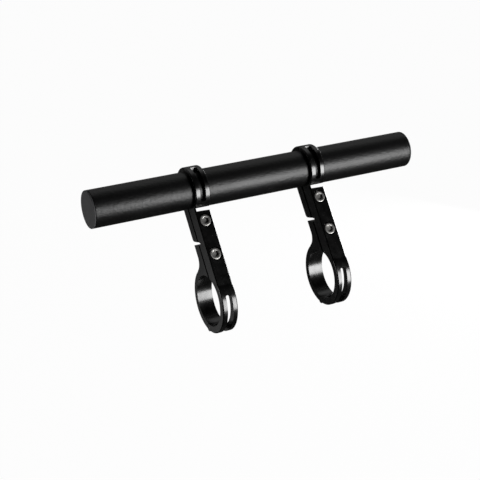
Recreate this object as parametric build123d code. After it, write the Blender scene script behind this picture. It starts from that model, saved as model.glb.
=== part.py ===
from build123d import *
import math
import os

# Handlebar extender: a round accessory bar carried above and ahead of a handlebar by two clamp brackets.
# Millimetres. X runs along the bar (left to right), Y points forward, away from the rider, +Z is up.
# The origin is on the handlebar's axis, at the middle of the left bracket's lower clamp.

# accessory bar
bar_diameter = 25.4
bar_total_length = 243.0
bar_wall = 1.6
bar_shift = 2.4
bar_radius = bar_diameter / 2

# end caps: a face disc the width of the bar and a plug pushed into its bore
cap_face_thickness = 1.5
cap_plug_length = 9.0
cap_plug_wall = 1.6
cap_edge_round = 0.6

# handlebar that the lower clamps hold
handlebar_diameter = 35.0
handlebar_radius = handlebar_diameter / 2

# running clearances
clamp_clearance = 0.05
pin_clearance = 0.05
hinge_side_clearance = 0.2
hinge_round_clearance = 0.35

# bracket, in its own plane: Y across the arm, Z along the arm, before it is leant forward
bracket_spacing = 88.0
bracket_width = 11.0
bar_middle = bracket_spacing / 2 + bar_shift
arm_lean = 38.9
upper_centre_y = -17.0
upper_centre_z = 73.4
upper_wall = 2.9
lower_wall = 4.8
arm_face_ahead = 4.9
seam_behind = 4.4
seam_gap = 1.8
ear_thickness = 6.7
edge_round = 0.8
arm_chamfer = 0.6
upper_bore = bar_radius + clamp_clearance
lower_bore = handlebar_radius + clamp_clearance
upper_outer = upper_bore + upper_wall
lower_outer = lower_bore + lower_wall
arm_front = upper_centre_y - arm_face_ahead
seam_y = upper_centre_y + seam_behind
ear_front = seam_y + seam_gap
ear_back = ear_front + ear_thickness

# blends: where the lower ear grows out of its ring, at the upper ear's free corner, and where the arm
# swells into the lower ring, given as the clock angle of the tangent
ear_root_round = 8.0
ear_corner_round = 3.0
arm_swell_angle = 172.0

# slot milled along the middle of each rider-side half ring, square ended with soft corners
window_width = 4.2
window_corner_round = 1.1
upper_window_end = 230.0
lower_window_end = 186.0

# relief slot milled under the bar, from the right side, and the web that it leaves at the left
relief_tilt = 14.4
relief_width = 2.5
relief_front_web = 1.1
relief_back_web = 4.67

# slanted notch that parts the upper jaw's ear from the lower jaw's ear, and runs on into the arm
notch_tilt = 21.0
notch_height = 2.5
notch_depth = 2.1
notch_drop = 36.9
notch_z = upper_centre_z - notch_drop

# hinges, by the clock angle from +Y towards +Z about each clamp's axis: the upper one lies within its
# ring's wall, the lower one stands a little proud of it
upper_hinge_angle = 122.0
lower_hinge_angle = -52.0
upper_pin_radius = 0.8
lower_pin_radius = 0.9
upper_knuckle = upper_wall / 2
lower_knuckle = 2.5
lower_knuckle_proud = 0.5
upper_hinge_r = upper_bore + upper_wall / 2
lower_hinge_r = lower_outer + lower_knuckle_proud - lower_knuckle
tongue_width = window_width - 2 * hinge_side_clearance
tongue_sweep = 25.0

# the upper tongue runs on past its pin into the slot, clear of the bar, to a flat end face that is
# tilted back from the radial plane
tongue_end_angle = 129.0
tongue_end_tilt = 13.0
tongue_bar_clearance = 0.2

# clamp bolts: M5 socket head
bolt_head_radius = 4.25
bolt_head_height = 5.0
bolt_head_round = 0.5
bolt_shank_radius = 2.4
bolt_tip_proud = 0.6
bolt_recess = 0.1
counterbore_clearance = 0.45
body_hole_clearance = 0.35
ear_hole_clearance = 0.45
hex_across_flats = 4.0
hex_depth = 2.6
bolt_spacing = 23.5
upper_bolt_drop = 23.4
pin_end_recess = 0.2
upper_bolt_z = upper_centre_z - upper_bolt_drop
lower_bolt_z = upper_bolt_z - bolt_spacing

# cutting tools run past the bracket by this much on every side
reach = 2 * (upper_centre_z + upper_outer + lower_outer)


def bar_along_x(radius, length, y=0.0, z=0.0):
    """Round bar centred on the bracket's middle plane."""
    return Pos(0, y, z) * Rot(0, 90, 0) * Cylinder(radius, length)


def band(inner, outer, width, start, sweep, rounding=0.0):
    """Part of a ring about X, from one clock angle through a sweep, its outer edges rounded."""
    profile = Pos(0, (inner + outer) / 2) * Rectangle(width, outer - inner)
    if rounding > 0:
        profile = fillet(profile.vertices().group_by(Axis.Y)[-1], rounding)
    return Rot(start, 0, 0) * revolve(profile, Axis.X, sweep)


def at_upper(shape):
    """Moves a shape made about X onto the upper clamp's axis."""
    return Pos(0, upper_centre_y, upper_centre_z) * shape


def polar(radius, angle):
    """Y and Z of a point at a clock angle."""
    return radius * math.cos(math.radians(angle)), radius * math.sin(math.radians(angle))


def block(y0, y1, z0, z1, width):
    """Box between two Y and two Z values."""
    return Pos(0, (y0 + y1) / 2, (z0 + z1) / 2) * Box(width, y1 - y0, z1 - z0)


def slab(points, width):
    """Plate of the bracket's plane, from its outline in Y and Z."""
    return extrude(Plane.YZ * Polygon(*points, align=None), width / 2, both=True)


def hinge_place(upper):
    """Y and Z of a hinge pin in the bracket's plane."""
    if upper:
        y, z = polar(upper_hinge_r, upper_hinge_angle)
        return y + upper_centre_y, z + upper_centre_z
    return polar(lower_hinge_r, lower_hinge_angle)


def seam_angle(upper):
    """Clock angle at which the seam plane meets the bore."""
    if upper:
        return -math.degrees(math.acos(seam_behind / upper_bore))
    return math.degrees(math.acos(seam_y / lower_bore))


def arm_block():
    """The arm itself: a plate that swells into the lower ring, its long rider-side edges softened."""
    top = upper_centre_z - upper_bore / 2
    tangent_y, tangent_z = polar(lower_outer, arm_swell_angle)
    slope = math.tan(math.radians(180 - arm_swell_angle))
    swell_top = tangent_z + abs(arm_front - tangent_y) / slope
    outline = [
        (arm_front, top),
        (arm_front, swell_top),
        (tangent_y, tangent_z),
        (-lower_bore - lower_wall / 2, tangent_z),
        (seam_y, lower_outer / 3),
        (seam_y, top),
    ]
    arm = slab(outline, bracket_width)
    side_edges = arm.edges().filter_by(Axis.X, reverse=True)
    foremost = min(arm_front, tangent_y) - arm_chamfer / 2
    rearmost = max(arm_front, tangent_y) + arm_chamfer / 2
    rider_edges = side_edges.filter_by_position(Axis.Y, foremost, rearmost)
    return chamfer(rider_edges, arm_chamfer)


def bolt_cut(z):
    """Counterbore and clearance hole for one bolt."""
    floor = arm_front + bolt_recess + bolt_head_height
    bore = Cylinder(bolt_head_radius + counterbore_clearance, reach)
    bore = Pos(0, floor - reach / 2, z) * Rot(90, 0, 0) * bore
    hole = Pos(0, arm_front, z) * Rot(90, 0, 0) * Cylinder(bolt_shank_radius + body_hole_clearance, reach)
    return bore + hole


def window_cut(inner, outer, end, hinge):
    """Slot along a half ring from its square end to the hinge, cut straight through the wall."""
    across = (inner + outer) / 2
    sweep = abs(hinge - end)
    start = min(end, hinge)
    slot = band(inner / 2, outer + inner / 2, window_width, start, sweep)
    corner_angle = math.degrees(window_corner_round / across)
    inward = corner_angle if hinge > end else -corner_angle
    keep = band(inner / 2, outer + inner / 2, window_width, min(end, end + inward), corner_angle)
    y, z = polar(across, end + inward)
    side = window_width / 2 - window_corner_round
    turn = Rot(end + inward + 90, 0, 0)
    for x in (-side, side):
        keep -= Pos(x, y, z) * turn * Cylinder(window_corner_round, inner)
    keep -= band(inner / 2, outer + inner / 2, 2 * side, min(end, end + inward), corner_angle)
    return slot - keep


def relief_cut():
    """Slot milled from one side under the bar, leaving the neck on the other side."""
    across = upper_bore + relief_width / 2
    layer = Rot(relief_tilt, 0, 0) * Pos(0, 0, -across) * Box(reach, reach, relief_width)
    left = -bracket_width / 2
    slope = (relief_back_web - relief_front_web) / (arm_face_ahead + seam_behind)
    front = -arm_face_ahead - upper_outer
    back = seam_behind + 2 * upper_outer
    points = [
        (left + relief_front_web - slope * upper_outer, front),
        (left + relief_back_web + slope * (back - seam_behind), back),
        (reach, back),
        (reach, front),
    ]
    wedge = extrude(Polygon(*points, align=None), 2 * upper_outer, both=True)
    return at_upper(layer & wedge)


def notch_cut():
    """Round-bottomed slanted notch, cut from the seam plane into the arm."""
    inner = notch_height / 2 - notch_depth
    channel = block(inner, ear_thickness, -notch_height / 2, notch_height / 2, reach)
    slot = channel + bar_along_x(notch_height / 2, reach, inner)
    return Pos(0, seam_y, notch_z) * Rot(notch_tilt, 0, 0) * slot


def notch_edge(y, side):
    """Height of the notch's upper (side 1) or lower (side -1) edge at a Y value."""
    tilt = math.radians(notch_tilt)
    return notch_z + (y - seam_y) * math.tan(tilt) + side * notch_height / 2 / math.cos(tilt)


def knuckles(upper):
    """The two outer knuckles of a hinge, on the arm's side, the upper ones kept within their ring."""
    y, z = hinge_place(upper)
    if not upper:
        return bar_along_x(lower_knuckle, bracket_width, y, z)
    start = upper_hinge_angle - tongue_sweep
    ring = band(upper_bore, upper_outer, bracket_width, start, 2 * tongue_sweep, edge_round)
    return bar_along_x(upper_knuckle, bracket_width, y, z) & at_upper(ring)


def pin_hole(upper, clearance):
    """Hole along the hinge axis."""
    y, z = hinge_place(upper)
    radius = upper_pin_radius if upper else lower_pin_radius
    return bar_along_x(radius + clearance, reach, y, z)


def hinge_gap(upper):
    """Room between the two outer knuckles for the jaw's tongue."""
    y, z = hinge_place(upper)
    knuckle = upper_knuckle if upper else lower_knuckle
    return bar_along_x(knuckle + hinge_round_clearance, window_width, y, z)


def bracket_body():
    """Arm with the rider-side half of both rings, forked at both hinges."""
    upper_sweep = 360 + seam_angle(True) - upper_hinge_angle
    upper_half = band(upper_bore, upper_outer, bracket_width, upper_hinge_angle, upper_sweep, edge_round)
    lower_start = seam_angle(False)
    lower_sweep = 360 + lower_hinge_angle - lower_start
    lower_half = band(lower_bore, lower_outer, bracket_width, lower_start, lower_sweep, edge_round)
    body = arm_block() + at_upper(upper_half) + lower_half + knuckles(True) + knuckles(False)
    body -= bar_along_x(upper_bore, reach, upper_centre_y, upper_centre_z)
    body -= bar_along_x(lower_bore, reach)
    body -= block(seam_y, reach, 0, upper_centre_z, reach)
    body -= at_upper(window_cut(upper_bore, upper_outer, upper_window_end, upper_hinge_angle))
    body -= window_cut(lower_bore, lower_outer, lower_window_end, 360 + lower_hinge_angle)
    body -= hinge_gap(True) + hinge_gap(False)
    body -= relief_cut() + notch_cut()
    body -= bolt_cut(upper_bolt_z) + bolt_cut(lower_bolt_z)
    body -= pin_hole(True, 0.0) + pin_hole(False, 0.0)
    return body


def ear_root():
    """Hollow blend between the lower ear's back and its ring."""
    blend_y = ear_back + ear_root_round
    blend_z = math.sqrt((lower_outer + ear_root_round) ** 2 - blend_y ** 2)
    tangent_y = blend_y * lower_outer / (lower_outer + ear_root_round)
    wall = block(ear_front, tangent_y, lower_outer / 2, blend_z, bracket_width)
    return wall - bar_along_x(ear_root_round, reach, blend_y, blend_z)


def ear(upper):
    """Flat ear of a jaw, that the bolt draws to the arm, its free end cut along the notch."""
    side = 1 if upper else -1
    root = upper_centre_z - upper_bore / 2 if upper else lower_outer / 2
    outline = [
        (ear_front, notch_edge(ear_front, side)),
        (ear_back, notch_edge(ear_back, side)),
        (ear_back, root),
        (ear_front, root),
    ]
    plate = slab(outline, bracket_width)
    if not upper:
        return plate
    corner = plate.edges().filter_by(Axis.X).group_by(Axis.Y)[-1].group_by(Axis.Z)[0]
    return fillet(corner, ear_corner_round)


def ear_hole(z):
    """Bolt hole through an ear."""
    hole = Cylinder(bolt_shank_radius + ear_hole_clearance, reach)
    return Pos(0, ear_back, z) * Rot(90, 0, 0) * hole


def tongue(upper):
    """Middle knuckle of a jaw and the strip that carries it, the upper one run on past its pin."""
    y, z = hinge_place(upper)
    knuckle = upper_knuckle if upper else lower_knuckle
    end = bar_along_x(knuckle, tongue_width, y, z)
    if not upper:
        return end + band(lower_bore, lower_outer, tongue_width, lower_hinge_angle, tongue_sweep)
    strip = band(upper_bore, upper_outer, tongue_width, upper_hinge_angle - tongue_sweep, tongue_sweep)
    inner = upper_bore + tongue_bar_clearance
    past = tongue_end_angle + tongue_end_tilt / 2 - upper_hinge_angle
    tail = band(inner, upper_outer, tongue_width, upper_hinge_angle, past)
    end_y, end_z = polar(upper_hinge_r, tongue_end_angle)
    beyond = block(-upper_wall, upper_wall, 0, 2 * upper_wall, bracket_width)
    tail -= Pos(0, end_y, end_z) * Rot(tongue_end_angle - tongue_end_tilt, 0, 0) * beyond
    return end + at_upper(strip + tail)


def fork_room(upper):
    """Round clearance in a jaw for the arm's two knuckles."""
    y, z = hinge_place(upper)
    knuckle = upper_knuckle if upper else lower_knuckle
    full = bar_along_x(knuckle + hinge_round_clearance, reach, y, z)
    return full - bar_along_x(2 * knuckle, tongue_width, y, z)


def upper_jaw():
    """Forward half of the ring round the bar, with its ear and its hinge tongue."""
    start = seam_angle(True)
    half = band(upper_bore, upper_outer, bracket_width, start, upper_hinge_angle - start, edge_round)
    jaw = at_upper(half) + ear(True)
    jaw -= fork_room(True)
    jaw += tongue(True)
    jaw -= bar_along_x(upper_bore, reach, upper_centre_y, upper_centre_z)
    jaw -= block(-reach, ear_front, 0, upper_centre_z, reach)
    jaw -= relief_cut()
    jaw -= ear_hole(upper_bolt_z)
    jaw -= pin_hole(True, pin_clearance)
    return jaw


def lower_jaw():
    """Forward half of the ring round the handlebar, with its ear and its hinge tongue."""
    sweep = seam_angle(False) - lower_hinge_angle
    half = band(lower_bore, lower_outer, bracket_width, lower_hinge_angle, sweep, edge_round)
    jaw = half + ear(False) + ear_root()
    jaw -= fork_room(False)
    jaw += tongue(False)
    jaw -= bar_along_x(lower_bore, reach)
    jaw -= block(-reach, ear_front, 0, upper_centre_z, reach)
    jaw -= ear_hole(lower_bolt_z)
    jaw -= pin_hole(False, pin_clearance)
    return jaw


def clamp_bolt(z):
    """Socket head bolt, head sunk in the arm, its shank reaching through the ear."""
    front = arm_front + bolt_recess
    under = front + bolt_head_height
    tip = ear_back + bolt_tip_proud
    head = Pos(0, (front + under) / 2, z) * Rot(90, 0, 0) * Cylinder(bolt_head_radius, bolt_head_height)
    rim = head.edges().filter_by(GeomType.CIRCLE).group_by(Axis.Y)[0]
    head = fillet(rim, bolt_head_round)
    shank = Pos(0, (front + tip) / 2, z) * Rot(90, 0, 0) * Cylinder(bolt_shank_radius, tip - front)
    hexagon = RegularPolygon(hex_across_flats / 2, 6, major_radius=False)
    key = Pos(0, front, z) * Rot(-90, 0, 0) * extrude(hexagon, hex_depth)
    return head + shank - key


def hinge_pin(upper):
    """Straight pin through both outer knuckles and the tongue, ends just below the side faces."""
    y, z = hinge_place(upper)
    radius = upper_pin_radius if upper else lower_pin_radius
    return bar_along_x(radius, bracket_width - 2 * pin_end_recess, y, z)


def placed(shape, x):
    """Leans a bracket piece forward and moves it to its place along the handlebar."""
    return Pos(x, 0, 0) * Rot(-arm_lean, 0, 0) * shape


def bar_axis():
    """Y and Z of the accessory bar's axis once the brackets lean."""
    lean = math.radians(arm_lean)
    y = upper_centre_y * math.cos(lean) + upper_centre_z * math.sin(lean)
    z = -upper_centre_y * math.sin(lean) + upper_centre_z * math.cos(lean)
    return y, z


def extension_tube():
    """Hollow accessory bar between the two cap faces."""
    y, z = bar_axis()
    length = bar_total_length - 2 * cap_face_thickness
    tube = Cylinder(bar_radius, length) - Cylinder(bar_radius - bar_wall, length)
    return Pos(bar_middle, y, z) * Rot(0, 90, 0) * tube


def end_cap(side):
    """Cap made facing +Z: face disc with a rounded rim over a hollow plug."""
    face = Pos(0, 0, -cap_face_thickness / 2) * Cylinder(bar_radius, cap_face_thickness)
    rim = face.edges().filter_by(GeomType.CIRCLE).group_by(Axis.Z)[-1]
    face = fillet(rim, cap_edge_round)
    plug_radius = bar_radius - bar_wall
    plug = Cylinder(plug_radius, cap_plug_length) - Cylinder(plug_radius - cap_plug_wall, cap_plug_length)
    plug = Pos(0, 0, -cap_face_thickness - cap_plug_length / 2) * plug
    y, z = bar_axis()
    return Pos(bar_middle + side * bar_total_length / 2, y, z) * Rot(0, side * 90, 0) * (face + plug)


os.makedirs("parts", exist_ok=True)
export_step(extension_tube(), "parts/extension_tube.step")
export_step(end_cap(-1), "parts/left_end_cap.step")
export_step(end_cap(1), "parts/right_end_cap.step")

for word, x in (("left", 0.0), ("right", bracket_spacing)):
    export_step(placed(bracket_body(), x), f"parts/{word}_bracket_arm.step")
    export_step(placed(upper_jaw(), x), f"parts/{word}_upper_jaw.step")
    export_step(placed(lower_jaw(), x), f"parts/{word}_lower_jaw.step")
    export_step(placed(clamp_bolt(upper_bolt_z), x), f"parts/{word}_upper_bolt.step")
    export_step(placed(clamp_bolt(lower_bolt_z), x), f"parts/{word}_lower_bolt.step")
    export_step(placed(hinge_pin(True), x), f"parts/{word}_upper_hinge_pin.step")
    export_step(placed(hinge_pin(False), x), f"parts/{word}_lower_hinge_pin.step")
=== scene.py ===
# %% [markdown]
# The part is a handlebar extender: a round black accessory bar, held by two hinged clamp brackets. Its
# solids come ready from the CAD model. They could be modelled again here, but then the two models might
# drift apart. So this lesson keeps them and gives them their finishes, makes the clamp bolts and the end
# caps in finer detail, and sets up the studio. Everything is in metres, in the model's own frame.

# %% Load the frame
import math
import bmesh
import bpy
from mathutils import Matrix, Vector


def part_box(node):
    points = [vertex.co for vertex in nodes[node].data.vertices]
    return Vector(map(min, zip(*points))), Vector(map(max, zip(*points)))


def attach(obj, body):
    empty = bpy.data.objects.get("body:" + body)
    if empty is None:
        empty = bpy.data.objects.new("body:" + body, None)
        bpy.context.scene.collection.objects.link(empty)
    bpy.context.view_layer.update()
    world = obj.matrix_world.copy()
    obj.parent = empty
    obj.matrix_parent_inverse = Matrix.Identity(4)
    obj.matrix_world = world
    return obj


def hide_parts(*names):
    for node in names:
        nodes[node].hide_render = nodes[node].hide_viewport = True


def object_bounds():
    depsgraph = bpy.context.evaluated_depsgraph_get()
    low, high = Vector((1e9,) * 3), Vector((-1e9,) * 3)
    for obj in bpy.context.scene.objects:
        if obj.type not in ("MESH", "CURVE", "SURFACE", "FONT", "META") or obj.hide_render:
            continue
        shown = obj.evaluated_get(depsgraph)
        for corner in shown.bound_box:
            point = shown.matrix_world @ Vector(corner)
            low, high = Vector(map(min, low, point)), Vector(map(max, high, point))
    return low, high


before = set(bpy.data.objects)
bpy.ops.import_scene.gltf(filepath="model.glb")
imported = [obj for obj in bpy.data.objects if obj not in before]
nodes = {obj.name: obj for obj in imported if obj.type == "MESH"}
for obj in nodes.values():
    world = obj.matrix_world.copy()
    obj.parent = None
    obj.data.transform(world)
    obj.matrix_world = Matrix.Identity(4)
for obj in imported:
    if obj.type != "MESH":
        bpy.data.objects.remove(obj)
cad_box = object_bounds()
MM = 0.001
print("nodes", len(nodes), "box", [[round(v, 4) for v in corner] for corner in cad_box])

# %% [markdown]
# The photograph was taken from the side that the bolt heads face, somewhat from the left and from above. A
# long lens keeps the bar's two ends nearly the same size. A camera could be moved by hand until the picture
# looks right. Here its place, its turn and its lens were worked out from the outlines of the bar, the
# brackets and the bolt heads, so that the object falls on the same part of the picture. The turn is written
# as the three directions that are right, down and away in the picture.

# %% Camera
CAMERA_PLACE = Vector((-0.29911, -0.61440, 0.36294))
CAMERA_LENS_MM = 86.25
SENSOR_MM = 36.0
NEAREST_SEEN = 0.01
VIEW_RIGHT = Vector((0.88848, -0.45892, 0.0))
VIEW_DOWN = Vector((-0.19417, -0.37591, -0.90609))
VIEW_AWAY = Vector((0.41582, 0.80504, -0.42310))

camera_data = bpy.data.cameras.new("photo_camera")
camera_data.lens = CAMERA_LENS_MM
camera_data.sensor_width = SENSOR_MM
camera_data.clip_start = NEAREST_SEEN
camera = bpy.data.objects.new("photo_camera", camera_data)
bpy.context.scene.collection.objects.link(camera)
camera_turn = Matrix((VIEW_RIGHT, -VIEW_DOWN, -VIEW_AWAY)).transposed()
camera.matrix_world = Matrix.Translation(CAMERA_PLACE) @ camera_turn.to_4x4()
bpy.context.scene.camera = camera
print("camera", [round(v, 3) for v in CAMERA_PLACE], "lens", CAMERA_LENS_MM)

# %% [markdown]
# Materials are node trees. A few helpers keep them short: one turns a colour written in sRGB hex into the
# linear numbers that the shader wants, and one adds a node with its settings and its links. Patterns read
# Object coordinates, which are metres here, so a scale is one over a real size.

# %% Helpers for materials
def linear(hex_colour):
    """sRGB hex to linear RGBA."""
    channels = [int(hex_colour[i:i + 2], 16) / 255 for i in (1, 3, 5)]
    turned = [c / 12.92 if c <= 0.04045 else ((c + 0.055) / 1.055) ** 2.4 for c in channels]
    return (*turned, 1.0)


def add(tree, kind, settings=None, links=None):
    """Adds a node, sets its values by name or number, and links its inputs to other nodes' outputs."""
    node = tree.nodes.new(kind)
    for name, value in (settings or {}).items():
        if isinstance(name, int) or name in node.inputs:
            node.inputs[name].default_value = value
        else:
            setattr(node, name, value)
    for name, output in (links or {}).items():
        tree.links.new(output, node.inputs[name])
    return node


def new_material(name):
    """An empty node material with its output node."""
    material = bpy.data.materials.new(name)
    material.use_nodes = True
    material.node_tree.nodes.clear()
    output = add(material.node_tree, "ShaderNodeOutputMaterial")
    return material, material.node_tree, output


def per_mm(size_mm):
    """Texture scale for a pattern whose cell is this many millimetres."""
    return 1.0 / (size_mm * MM)


print("a cell of 2 mm has a scale of", round(per_mm(2.0)))

# %% [markdown]
# The bar is aluminium tube, blasted with fine beads and then anodised black. Blasting leaves a grain of
# about a tenth of a millimetre that spreads the light, so the bar shows one long soft highlight. A picture
# of such a surface could be wrapped on, but noise has no seam. The roughness stands for the fine grain. So
# that some of it also shows in a picture of the whole part, it is drawn far coarser here, in cells of two
# millimetres. The dye is nearly black, and the clear oxide above it reflects only a little.

# %% Blasted and anodised aluminium, for the bar
def blasted_anodised_aluminium():
    """Nearly black, with a grain in tone and bump, and patches in how dull it is."""
    material, tree, output = new_material("blasted_black_anodised_aluminium")
    place = add(tree, "ShaderNodeTexCoord")
    grain = add(tree, "ShaderNodeTexNoise", {"Scale": per_mm(2.0), "Detail": 4.0, "Roughness": 0.6},
                {"Vector": place.outputs["Object"]})
    patches = add(tree, "ShaderNodeTexNoise", {"Scale": per_mm(22.0), "Detail": 2.0},
                  {"Vector": place.outputs["Object"]})
    tone = add(tree, "ShaderNodeValToRGB", links={"Fac": grain.outputs["Fac"]})
    tone.color_ramp.elements[0].position = 0.3
    tone.color_ramp.elements[0].color = linear("#030303")
    tone.color_ramp.elements[1].position = 0.75
    tone.color_ramp.elements[1].color = linear("#080808")
    rough = add(tree, "ShaderNodeMapRange", {"To Min": 0.36, "To Max": 0.42},
                {"Value": patches.outputs["Fac"]})
    bump = add(tree, "ShaderNodeBump", {"Strength": 1.0, "Distance": 0.2 * MM},
               {"Height": grain.outputs["Fac"]})
    shader = add(tree, "ShaderNodeBsdfPrincipled", {"IOR": 1.5, "Specular IOR Level": 0.5},
                 {"Base Color": tone.outputs["Color"], "Roughness": rough.outputs["Result"],
                  "Normal": bump.outputs["Normal"]})
    tree.links.new(shader.outputs["BSDF"], output.inputs["Surface"])
    return material


bar_finish = blasted_anodised_aluminium()
print(bar_finish.name, "nodes", len(bar_finish.node_tree.nodes))

# %% [markdown]
# The brackets are cut from aluminium plate on a mill, tumbled smooth and anodised black. They are shinier
# than the bar, so their rings show short bright highlights. Two noises do the work. One is the cutter's lay,
# a very faint bump: a Mapping node squeezes it along Z, so that its marks run level across the arm. The
# other is wear, in spots of a few millimetres: where the bracket is handled, the black gets a little lighter
# and duller.

# %% Milled and anodised aluminium, for the brackets
def milled_anodised_aluminium():
    """Nearly black, with worn spots in tone and shine, and a cutter's lay in the bump."""
    material, tree, output = new_material("milled_black_anodised_aluminium")
    place = add(tree, "ShaderNodeTexCoord")
    lay = add(tree, "ShaderNodeMapping", {"Scale": (1.0, 1.0, 6.0)}, {"Vector": place.outputs["Object"]})
    cutter = add(tree, "ShaderNodeTexNoise", {"Scale": per_mm(1.6), "Detail": 4.0, "Roughness": 0.55},
                 {"Vector": lay.outputs["Vector"]})
    wear = add(tree, "ShaderNodeTexNoise", {"Scale": per_mm(4.5), "Detail": 4.0},
               {"Vector": place.outputs["Object"]})
    tone = add(tree, "ShaderNodeValToRGB", links={"Fac": wear.outputs["Fac"]})
    tone.color_ramp.elements[0].position = 0.35
    tone.color_ramp.elements[0].color = linear("#030303")
    tone.color_ramp.elements[1].position = 0.8
    tone.color_ramp.elements[1].color = linear("#070707")
    rough = add(tree, "ShaderNodeMapRange",
                {"From Min": 0.3, "From Max": 0.7, "To Min": 0.20, "To Max": 0.28},
                {"Value": wear.outputs["Fac"]})
    bump = add(tree, "ShaderNodeBump", {"Strength": 0.1, "Distance": 0.03 * MM},
               {"Height": cutter.outputs["Fac"]})
    shader = add(tree, "ShaderNodeBsdfPrincipled", {"IOR": 1.6, "Specular IOR Level": 0.6},
                 {"Base Color": tone.outputs["Color"], "Roughness": rough.outputs["Result"],
                  "Normal": bump.outputs["Normal"]})
    tree.links.new(shader.outputs["BSDF"], output.inputs["Surface"])
    return material


bracket_finish = milled_anodised_aluminium()
print(bracket_finish.name, "nodes", len(bracket_finish.node_tree.nodes))

# %% [markdown]
# The end caps are moulded in black plastic, in a tool with a fine spark grain, which makes them a lighter,
# flatter black than the metal. A Voronoi pattern has the small round cells of such a grain. The real grain
# is about 0.1 mm. It is drawn coarser, in cells of 0.9 mm, so that it still shows in a picture of the whole
# part.

# %% Moulded plastic, for the end caps
def moulded_black_plastic():
    """Dull dark plastic, with a soft cloud in its tone and a spark grain in shine and bump."""
    material, tree, output = new_material("moulded_black_polypropylene")
    place = add(tree, "ShaderNodeTexCoord")
    spark = add(tree, "ShaderNodeTexVoronoi", {"Scale": per_mm(0.9)}, {"Vector": place.outputs["Object"]})
    cloud = add(tree, "ShaderNodeTexNoise", {"Scale": per_mm(5.0), "Detail": 2.0},
                {"Vector": place.outputs["Object"]})
    tone = add(tree, "ShaderNodeValToRGB", links={"Fac": cloud.outputs["Fac"]})
    tone.color_ramp.elements[0].color = linear("#464647")
    tone.color_ramp.elements[1].color = linear("#545455")
    rough = add(tree, "ShaderNodeMapRange", {"To Min": 0.5, "To Max": 0.6},
                {"Value": spark.outputs["Distance"]})
    bump = add(tree, "ShaderNodeBump", {"Strength": 0.3, "Distance": 0.1 * MM},
               {"Height": spark.outputs["Distance"]})
    shader = add(tree, "ShaderNodeBsdfPrincipled", {"IOR": 1.49, "Specular IOR Level": 0.4},
                 {"Base Color": tone.outputs["Color"], "Roughness": rough.outputs["Result"],
                  "Normal": bump.outputs["Normal"]})
    tree.links.new(shader.outputs["BSDF"], output.inputs["Surface"])
    return material


cap_finish = moulded_black_plastic()
print(cap_finish.name, "nodes", len(cap_finish.node_tree.nodes))

# %% [markdown]
# The bolts are stainless steel with turned heads, and the hinge pins are ground steel rod, which has the same
# colour and a smoother surface. Tool marks are far too fine for a picture of the whole part. Here they are
# drawn as a coarser mottle, half a millimetre on the bolts and half of that on the pins, so that the shine
# isn't quite even. One function makes both, because only the mottle's size and the roughness differ.

# %% Turned stainless steel, for the bolts and pins
def turned_stainless_steel(name, mark_mm, rough_low, rough_high):
    """Bare metal whose tone, shine and bump follow one fine mottle."""
    material, tree, output = new_material(name)
    place = add(tree, "ShaderNodeTexCoord")
    marks = add(tree, "ShaderNodeTexNoise", {"Scale": per_mm(mark_mm), "Detail": 5.0, "Roughness": 0.65},
                {"Vector": place.outputs["Object"]})
    tone = add(tree, "ShaderNodeValToRGB", links={"Fac": marks.outputs["Fac"]})
    tone.color_ramp.elements[0].position = 0.25
    tone.color_ramp.elements[0].color = linear("#8f8e8b")
    tone.color_ramp.elements[1].position = 0.75
    tone.color_ramp.elements[1].color = linear("#c4c3c0")
    rough = add(tree, "ShaderNodeMapRange", {"To Min": rough_low, "To Max": rough_high},
                {"Value": marks.outputs["Fac"]})
    bump = add(tree, "ShaderNodeBump", {"Strength": 0.08, "Distance": 0.02 * MM},
               {"Height": marks.outputs["Fac"]})
    shader = add(tree, "ShaderNodeBsdfPrincipled", {"Metallic": 1.0},
                 {"Base Color": tone.outputs["Color"], "Roughness": rough.outputs["Result"],
                  "Normal": bump.outputs["Normal"]})
    tree.links.new(shader.outputs["BSDF"], output.inputs["Surface"])
    return material


bolt_finish = turned_stainless_steel("turned_stainless_steel", mark_mm=0.5, rough_low=0.34,
                                     rough_high=0.48)
pin_finish = turned_stainless_steel("ground_steel_rod", mark_mm=0.25, rough_low=0.12, rough_high=0.2)
print(bolt_finish.name, pin_finish.name, "nodes each", len(pin_finish.node_tree.nodes))

# %% [markdown]
# Each CAD node keeps its mesh and gets its finish through its material slot. Each finish could be given by
# hand, piece by piece, but the nodes' names say what the pieces are, so a rule can choose by the name.

# %% Give the CAD nodes their finishes
def finish_for(name):
    """The finish of a node, from what the piece is."""
    if name == "extension_tube":
        return bar_finish
    if name.endswith("end_cap"):
        return cap_finish
    if name.endswith("bolt"):
        return bolt_finish
    if name.endswith("pin"):
        return pin_finish
    return bracket_finish


for name, piece in nodes.items():
    piece.data.materials.clear()
    piece.data.materials.append(finish_for(name))
print("finishes", sorted({finish_for(n).name for n in nodes}))

# %% [markdown]
# The clamps are closed by four M5 socket head bolts. The CAD bolt has its true size but no thread, so each
# one is made again here and stands in the same place. Its axis follows the lean of the bracket arm. Its
# length and its head's width could be typed in, but measuring them from the CAD mesh keeps the two alike.
# The head is then made a little narrower than measured, because it looks narrower in the photograph.

# %% Measure the CAD bolts
ARM_LEAN = math.radians(38.9)
BOLT_WAY = Vector((0.0, math.cos(ARM_LEAN), -math.sin(ARM_LEAN)))
BOLT_UP = Vector((0.0, math.sin(ARM_LEAN), math.cos(ARM_LEAN)))
HEAD_ALLOWANCE = 0.15 * MM
bolt_names = sorted(name for name in nodes if name.endswith("bolt"))


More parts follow.
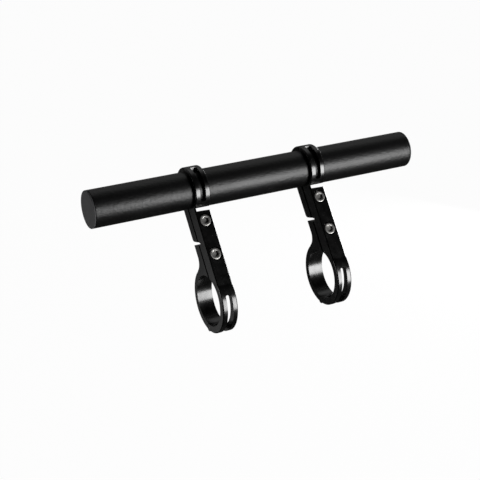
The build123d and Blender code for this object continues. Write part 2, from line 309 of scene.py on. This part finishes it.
def measured_bolt(name):
    """Middle of a bolt's head face, the bolt's length, and its head's radius."""
    corners = [v.co for v in nodes[name].data.vertices]
    along = [c.dot(BOLT_WAY) for c in corners]
    upward = [c.dot(BOLT_UP) for c in corners]
    across = [c.x for c in corners]
    middle = BOLT_UP * (min(upward) + max(upward)) / 2 + Vector(((min(across) + max(across)) / 2, 0, 0))
    return middle + BOLT_WAY * min(along), max(along) - min(along), (max(across) - min(across)) / 2


BOLT_LENGTH, cad_head_radius = measured_bolt(bolt_names[0])[1:]
HEAD_RADIUS = cad_head_radius - HEAD_ALLOWANCE
print("bolt length", round(BOLT_LENGTH / MM, 2), "head radius", round(HEAD_RADIUS / MM, 2))

# %% [markdown]
# A bolt head is mostly rings: the rim, the round countersink and the hexagon of the socket. The hexagon
# could be cut with a Boolean, but that leaves long thin faces that shade badly. Here every ring gets the
# same number of points, because bridging rings of equal count gives clean faces. Two helpers do this: one
# makes a ring, round or with flat sides, and one pulls a ring down, which leaves a wall behind it. A third
# counts the edges that are still open, and a finished piece has none.

# %% Rings and walls
RING_POINTS = 72


def ring(shape, radius, height, sides):
    """A closed ring of RING_POINTS edges, round or with flat sides."""
    made = bmesh.ops.create_circle(shape, cap_ends=False, segments=sides, radius=radius)
    edges = list({e for v in made["verts"] for e in v.link_edges})
    if sides < RING_POINTS:
        cut = bmesh.ops.subdivide_edges(shape, edges=edges, cuts=RING_POINTS // sides - 1,
                                        use_grid_fill=False)
        edges = list(set(edges) | {g for g in cut["geom"] if isinstance(g, bmesh.types.BMEdge)})
    bmesh.ops.translate(shape, verts=list({v for e in edges for v in e.verts}), vec=(0, 0, height))
    return edges


def pulled(shape, edges, drop):
    """Pulls a ring of edges down, and gives the new ring's edges and points."""
    made = bmesh.ops.extrude_edge_only(shape, edges=edges)["geom"]
    verts = [g for g in made if isinstance(g, bmesh.types.BMVert)]
    bmesh.ops.translate(shape, verts=verts, vec=(0, 0, -drop))
    return [g for g in made if isinstance(g, bmesh.types.BMEdge) and all(v in verts for v in g.verts)], verts


def open_edges(shape):
    """How many edges don't join exactly two faces."""
    return sum(1 for e in shape.edges if len(e.link_faces) != 2)


print("points in a ring", RING_POINTS)

# %% [markdown]
# The head's side has a knurl, fine grooves that give fingers a hold. They could be cut one by one. Here the
# side is pulled down in steps instead, and every second point of the middle steps moves inwards, which makes
# all the grooves at once.

# %% Knurled side of a bolt head
HEAD_HEIGHT = 5.0 * MM
KNURL_DEPTH = 0.14 * MM
KNURL_RAMP = 0.15 * MM
KNURL_START = 1.0 * MM


def pinched(verts):
    """Moves every second point of a ring inwards, for the knurl."""
    for v in verts:
        spot = round(math.atan2(v.co.y, v.co.x) / (2 * math.pi) * RING_POINTS)
        if spot % 2:
            v.co.xy *= 1 - KNURL_DEPTH / HEAD_RADIUS


def head_side(shape, rim):
    """The knurled side, pulled down from the rim in five steps, and the flat underside."""
    knurl_length = HEAD_HEIGHT - KNURL_START - 3 * KNURL_RAMP
    edges = rim
    for drop, knurled in ((KNURL_START, False), (KNURL_RAMP, True), (knurl_length, True),
                          (KNURL_RAMP, False), (KNURL_RAMP, False)):
        edges, verts = pulled(shape, edges, drop)
        if knurled:
            pinched(verts)
        else:
            for v in verts:
                v.co.xy = v.co.xy.normalized() * HEAD_RADIUS
    bmesh.ops.edgeloop_fill(shape, edges=edges)


print("knurl grooves", RING_POINTS // 2)

# %% [markdown]
# The hexagon socket is punched, so its floor is nearly flat. It is 1.5 mm deep here and 2.6 mm in the CAD,
# because in the photograph light still reaches the floor. A round countersink leads into it. The rim's
# rounding catches the light that draws the head, and it is bevelled last, when the side that it joins is
# there.

# %% Bolt head
HEAD_RIM_ROUND = 0.65 * MM
HEAD_RIM_STEPS = 4
SOCKET_SIDES = 6
SOCKET_FLATS = 4.0 * MM
SOCKET_DEPTH = 1.5 * MM
SOCKET_POINT = 0.08 * MM
COUNTERSINK_RADIUS = 2.5 * MM
COUNTERSINK_DEPTH = 0.2 * MM


def bolt_head(shape):
    """Head with its face at height 0 and its side going down."""
    rim = ring(shape, HEAD_RADIUS, 0.0, RING_POINTS)
    countersink = ring(shape, COUNTERSINK_RADIUS, 0.0, RING_POINTS)
    socket_corner = SOCKET_FLATS / 2 / math.cos(math.pi / SOCKET_SIDES)
    socket = ring(shape, socket_corner, -COUNTERSINK_DEPTH, SOCKET_SIDES)
    bmesh.ops.bridge_loops(shape, edges=rim + countersink)
    bmesh.ops.bridge_loops(shape, edges=countersink + socket)
    floor_edges = pulled(shape, socket, SOCKET_DEPTH - COUNTERSINK_DEPTH)[0]
    point_verts = pulled(shape, floor_edges, SOCKET_POINT)[1]
    bmesh.ops.pointmerge(shape, verts=point_verts, merge_co=(0, 0, -SOCKET_DEPTH - SOCKET_POINT))
    head_side(shape, rim)
    bmesh.ops.bevel(shape, geom=rim, affect="EDGES", offset=HEAD_RIM_ROUND, segments=HEAD_RIM_STEPS,
                    profile=0.5, material=-1)


head = bmesh.new()
bolt_head(head)
print("head faces", len(head.faces), "open edges", open_edges(head))

# %% [markdown]
# The thread is rolled between dies. A bump pattern could suggest it, but its outline would stay smooth. One
# tooth's outline is swept with spin instead, and because each step also moves down by a share of the pitch,
# the sweep is a helix. Neighbouring turns share their root, so merging doubles closes the thread. It starts
# above the head's underside, and a plane cuts it flat there and at the tip.

# %% Bolt thread
THREAD_PITCH = 0.8 * MM
THREAD_CREST = 2.45 * MM
THREAD_ROOT = 2.05 * MM
CREST_FLAT = 0.1 * MM
TURN_STEPS = 36
SPARE_TURNS = 2
MERGE_WITHIN = 0.002 * MM
HEAD_OVERLAP = 0.2 * MM


def bolt_thread(shape, top, bottom):
    """Threaded shank between two heights, closed at both ends."""
    rise = (THREAD_PITCH - CREST_FLAT) / 2
    start = top + SPARE_TURNS * THREAD_PITCH
    tooth = [(THREAD_ROOT, start), (THREAD_CREST, start - rise),
             (THREAD_CREST, start - rise - CREST_FLAT), (THREAD_ROOT, start - THREAD_PITCH)]
    verts = [shape.verts.new((radius, 0, height)) for radius, height in tooth]
    edges = [shape.edges.new(pair) for pair in zip(verts, verts[1:])]
    turns = math.ceil((start - bottom) / THREAD_PITCH) + 1
    bmesh.ops.spin(shape, geom=verts + edges, cent=(0, 0, 0), axis=(0, 0, 1),
                   dvec=(0, 0, -THREAD_PITCH / TURN_STEPS), angle=2 * math.pi * turns,
                   steps=TURN_STEPS * turns, use_merge=False)
    bmesh.ops.remove_doubles(shape, verts=shape.verts, dist=MERGE_WITHIN)
    for height, way in ((top, 1), (bottom, -1)):
        whole = list(shape.verts) + list(shape.edges) + list(shape.faces)
        cut = bmesh.ops.bisect_plane(shape, geom=whole, plane_co=(0, 0, height), plane_no=(0, 0, way),
                                     clear_outer=True)
        rim = [g for g in cut["geom_cut"] if isinstance(g, bmesh.types.BMEdge)]
        bmesh.ops.edgeloop_fill(shape, edges=rim)


thread = bmesh.new()
bolt_thread(thread, -HEAD_HEIGHT + HEAD_OVERLAP, -BOLT_LENGTH)
print("thread faces", len(thread.faces), "open edges", open_edges(thread))

# %% [markdown]
# Head and thread are joined in one shape, which is then copied for each bolt. A linked copy could be placed
# by its object, but a finished piece keeps its object at the origin, so the place goes into the mesh. Smooth
# shading would blur the corners of the hexagon, so edges sharper than a set angle are kept hard.

# %% Make the four bolts
SHARP_FROM = math.radians(32)


def piece_from(shape, name, finish):
    """Puts a finished shape into the scene as an object at the origin, with one material."""
    mesh = bpy.data.meshes.new(name)
    shape.to_mesh(mesh)
    shape.free()
    mesh.materials.append(finish)
    made = bpy.data.objects.new(name, mesh)
    bpy.context.scene.collection.objects.link(made)
    return made


def shade(piece):
    """Smooth shading with hard edges where faces meet at more than SHARP_FROM."""
    piece.data.shade_smooth()
    piece.data.set_sharp_from_angle(angle=SHARP_FROM)


thread_mesh = bpy.data.meshes.new("thread_blank")
thread.to_mesh(thread_mesh)
thread.free()
head.from_mesh(thread_mesh)
bmesh.ops.recalc_face_normals(head, faces=head.faces)
bpy.data.meshes.remove(thread_mesh)

bolt_turn = Matrix((Vector((1, 0, 0)), BOLT_UP, -BOLT_WAY)).transposed().to_4x4()
for name in bolt_names:
    shape = head.copy()
    face_middle = measured_bolt(name)[0]
    bmesh.ops.transform(shape, matrix=Matrix.Translation(face_middle) @ bolt_turn, verts=shape.verts)
    bolt = piece_from(shape, name.replace("bolt", "socket_head_bolt"), bolt_finish)
    shade(bolt)
    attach(bolt, name.split("_")[0] + "_bracket")
    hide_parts(name)
print("bolts", len(bolt_names), "faces each", len(head.faces))
head.free()

# %% [markdown]
# Each end cap is moulded in one piece: a face with a rounded rim, and a hollow plug that is pressed into the
# tube. Behind the rim runs a seating groove, which keeps the rim clear of the tube's cut edge and shows as a
# thin dark line. The CAD cap has no groove, so each cap is made again in its place. The groove could be cut
# from a cylinder, but it is simpler to draw half of the section as a few points and spin it round the bar's
# axis, as the mould itself is turned.

# %% End cap
CAP_FACE = 1.5 * MM
CAP_PLUG_RADIUS = 11.1 * MM
CAP_HOLLOW_RADIUS = 9.5 * MM
CAP_RIM_ROUND = 0.6 * MM
CAP_RIM_STEPS = 5
GROOVE_WIDTH = 0.6 * MM
GROOVE_DEPTH = 0.9 * MM
CAP_STEPS = 96


def moulded_cap(shape, radius, length):
    """Cap on the X axis, with its face at 0 and its plug towards -X."""
    rim_back = GROOVE_WIDTH - CAP_FACE
    section = [(-CAP_FACE, 0), (-CAP_FACE, CAP_HOLLOW_RADIUS), (-length, CAP_HOLLOW_RADIUS),
               (-length, CAP_PLUG_RADIUS), (-CAP_FACE, CAP_PLUG_RADIUS), (-CAP_FACE, radius - GROOVE_DEPTH),
               (rim_back, radius - GROOVE_DEPTH), (rim_back, radius), (0, radius), (0, 0)]
    verts = [shape.verts.new((along, 0, out)) for along, out in section]
    edges = [shape.edges.new(pair) for pair in zip(verts, verts[1:])]
    bmesh.ops.spin(shape, geom=verts + edges, cent=(0, 0, 0), axis=(1, 0, 0), angle=2 * math.pi,
                   steps=CAP_STEPS, use_merge=True)
    bmesh.ops.remove_doubles(shape, verts=shape.verts, dist=MERGE_WITHIN)
    rim = [e for e in shape.edges if all(v.co.x > -MERGE_WITHIN and v.co.yz.length > radius - MERGE_WITHIN
                                         for v in e.verts)]
    bmesh.ops.bevel(shape, geom=rim, affect="EDGES", offset=CAP_RIM_ROUND, segments=CAP_RIM_STEPS,
                    profile=0.5, material=-1)


print("cap wall", round((CAP_PLUG_RADIUS - CAP_HOLLOW_RADIUS) / MM, 2))

# %% Make the two end caps
for name, side in (("left_end_cap", -1), ("right_end_cap", 1)):
    low, high = (Vector(corner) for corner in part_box(name))
    shape = bmesh.new()
    moulded_cap(shape, (high.z - low.z) / 2, high.x - low.x)
    half_turn = Matrix.Rotation(math.pi if side < 0 else 0.0, 4, "Z")
    face = Vector((low.x if side < 0 else high.x, (low.y + high.y) / 2, (low.z + high.z) / 2))
    bmesh.ops.transform(shape, matrix=Matrix.Translation(face) @ half_turn, verts=shape.verts)
    bmesh.ops.recalc_face_normals(shape, faces=shape.faces)
    print(name, "open edges", open_edges(shape), "faces", len(shape.faces))
    cap = piece_from(shape, name.replace("end_cap", "grooved_end_cap"), cap_finish)
    shade(cap)
    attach(cap, "accessory_bar")
    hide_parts(name)

# %% [markdown]
# A plain studio: a pale floor well below the part and a white surround. A black object is drawn by what it
# reflects. Metal that mirrors what lies behind the part sees a share of the white there. The side of the
# studio behind the camera is dim, as it is in a real studio, and that keeps black parts black. Dark cards
# could stand there instead, but they would also show in other views. So the strength depends on the kind of
# ray and on its direction.

# %% Dim and bright sides of the studio
BACKDROP_WAY = Vector((0.44, 0.86, -0.26)).normalized()
DIM_SIDE = 0.006
DIM_UP_TO = -0.15
BRIGHT_FROM = 0.35


def seen_strength(tree, way, glossy_back):
    """Strength by kind of ray: 1 for the camera and through glass, less for gloss on the dim side."""
    rays = add(tree, "ShaderNodeLightPath")
    facing = add(tree, "ShaderNodeVectorMath", {"operation": "DOT_PRODUCT", 1: BACKDROP_WAY}, {0: way})
    side = add(tree, "ShaderNodeMapRange",
               {"interpolation_type": "SMOOTHSTEP", "From Min": DIM_UP_TO, "From Max": BRIGHT_FROM,
                "To Min": DIM_SIDE, "To Max": glossy_back}, {"Value": facing.outputs["Value"]})
    gloss = add(tree, "ShaderNodeMath", {"operation": "MULTIPLY"},
                {0: rays.outputs["Is Glossy Ray"], 1: side.outputs["Result"]})
    clear = add(tree, "ShaderNodeMath", {"operation": "MAXIMUM"},
                {0: rays.outputs["Is Camera Ray"], 1: rays.outputs["Is Transmission Ray"]})
    seen = add(tree, "ShaderNodeMath", {"operation": "MAXIMUM"},
               {0: gloss.outputs["Value"], 1: clear.outputs["Value"]})
    return rays, seen


print("backdrop towards", [round(v, 2) for v in BACKDROP_WAY])

# %% [markdown]
# The floor is pale paper. Lit by lamps alone it would come out grey and uneven. It is therefore a mix: nearly
# all of it shines evenly, and the small rest is a matte surface that keeps the part's soft shadow. Other rays
# than those of the camera and of gloss see only the matte surface.

# %% Floor
WHITE = (1, 1, 1, 1)
FLOOR_BELOW = 0.42
FLOOR_SIZE = 14.0
FLOOR_GLOSS = 0.02
FLOOR_EVEN_SHARE = 0.97
FLOOR_CLOUDS_PER_METRE = 3.0


def floor_material():
    """Even white for the camera, with a little of a matte surface mixed in."""
    material, tree, output = new_material("pale_floor")
    place = add(tree, "ShaderNodeTexCoord")
    way = add(tree, "ShaderNodeVectorMath", {"operation": "NORMALIZE"}, {0: place.outputs["Object"]})
    rays, seen = seen_strength(tree, way.outputs["Vector"], FLOOR_GLOSS)
    grain = add(tree, "ShaderNodeTexNoise", {"Scale": FLOOR_CLOUDS_PER_METRE, "Detail": 2.0},
                {"Vector": place.outputs["Object"]})
    tone = add(tree, "ShaderNodeValToRGB", links={"Fac": grain.outputs["Fac"]})
    tone.color_ramp.elements[0].color = linear("#eeeeee")
    tone.color_ramp.elements[1].color = linear("#f6f6f6")
    matte = add(tree, "ShaderNodeBsdfDiffuse", links={"Color": tone.outputs["Color"]})
    even = add(tree, "ShaderNodeEmission", {"Color": WHITE}, {"Strength": seen.outputs["Value"]})
    looked_at = add(tree, "ShaderNodeMath", {"operation": "MAXIMUM"},
                    {0: rays.outputs["Is Camera Ray"], 1: rays.outputs["Is Glossy Ray"]})
    share = add(tree, "ShaderNodeMath", {"operation": "MULTIPLY", 1: FLOOR_EVEN_SHARE},
                {0: looked_at.outputs["Value"]})
    mixed = add(tree, "ShaderNodeMixShader", links={0: share.outputs["Value"], 1: matte.outputs["BSDF"],
                                                    2: even.outputs["Emission"]})
    tree.links.new(mixed.outputs["Shader"], output.inputs["Surface"])
    return material


shape = bmesh.new()
bmesh.ops.create_grid(shape, x_segments=1, y_segments=1, size=FLOOR_SIZE / 2)
bmesh.ops.translate(shape, verts=shape.verts, vec=(0, 0, cad_box[0][2] - FLOOR_BELOW))
floor = piece_from(shape, "studio_floor", floor_material())
print("floor at", round(cad_box[0][2] - FLOOR_BELOW, 3))

# %% [markdown]
# The surround closes the studio with the same white. A picture of a room could light the part, but plain
# light is easier to steer. Matte surfaces get only a weak fill from it, so that the lamps do the modelling.

# %% Surround
SURROUND_GLOSS = 0.18
SURROUND_FILL = 0.08

world = bpy.data.worlds.new("studio_surround")
bpy.context.scene.world = world
world.use_nodes = True
tree = world.node_tree
tree.nodes.clear()
world_output = add(tree, "ShaderNodeOutputWorld")
sky = add(tree, "ShaderNodeTexCoord")
rays, seen = seen_strength(tree, sky.outputs["Generated"], SURROUND_GLOSS)
fill = add(tree, "ShaderNodeMath", {"operation": "MULTIPLY", 1: SURROUND_FILL},
           {0: rays.outputs["Is Diffuse Ray"]})
both = add(tree, "ShaderNodeMath", {"operation": "MAXIMUM"},
           {0: seen.outputs["Value"], 1: fill.outputs["Value"]})
surround = add(tree, "ShaderNodeBackground", {"Color": WHITE}, {"Strength": both.outputs["Value"]})
tree.links.new(surround.outputs["Background"], world_output.inputs["Surface"])
print("surround nodes", len(tree.nodes))

# %% [markdown]
# The main lamp is a tall softbox on the camera's side of the part, to the right of the camera and lower than
# it. It makes the long soft highlight on the bar and the short bright ones on the clamps. Point lamps would
# give hard dots there, so all lamps are rectangles. Weaker ones light the left end, the top and the far
# side, so that the part can be read from every side, and a very weak one low beside the left arm lightens
# that arm's flat side. The camera doesn't see the lamps themselves.

# %% Lamps
MIDDLE = Vector((0.046, 0.033, 0.068))
LEFT_ARM = Vector((-0.006, 0.008, 0.035))


def lamp(name, place, size, power, aim=MIDDLE):
    """A soft rectangular lamp that faces a point."""
    data = bpy.data.lights.new(name, "AREA")
    data.shape = "RECTANGLE"
    data.size, data.size_y = size
    data.energy = power
    thing = bpy.data.objects.new(name, data)
    bpy.context.scene.collection.objects.link(thing)
    away = Vector(place) - aim
    thing.rotation_mode = "QUATERNION"
    thing.rotation_quaternion = away.to_track_quat("Z", "Y")
    thing.location = place
    thing.visible_camera = False


lamp("front_softbox", place=(0.60, -1.0, 0.04), size=(0.50, 0.74), power=13.6)
lamp("side_softbox", place=(-1.1, 0.35, -0.05), size=(0.5, 0.5), power=2.6)
lamp("low_softbox", place=(-0.13, 0.20, -0.08), size=(0.06, 0.26), power=0.014, aim=LEFT_ARM)
lamp("top_softbox", place=(0.6, 0.7, 1.1), size=(1.0, 0.7), power=0.62)
lamp("back_softbox", place=(1.05, 0.75, -0.15), size=(0.5, 0.5), power=8.0)
bpy.context.scene.view_settings.view_transform = "Standard"
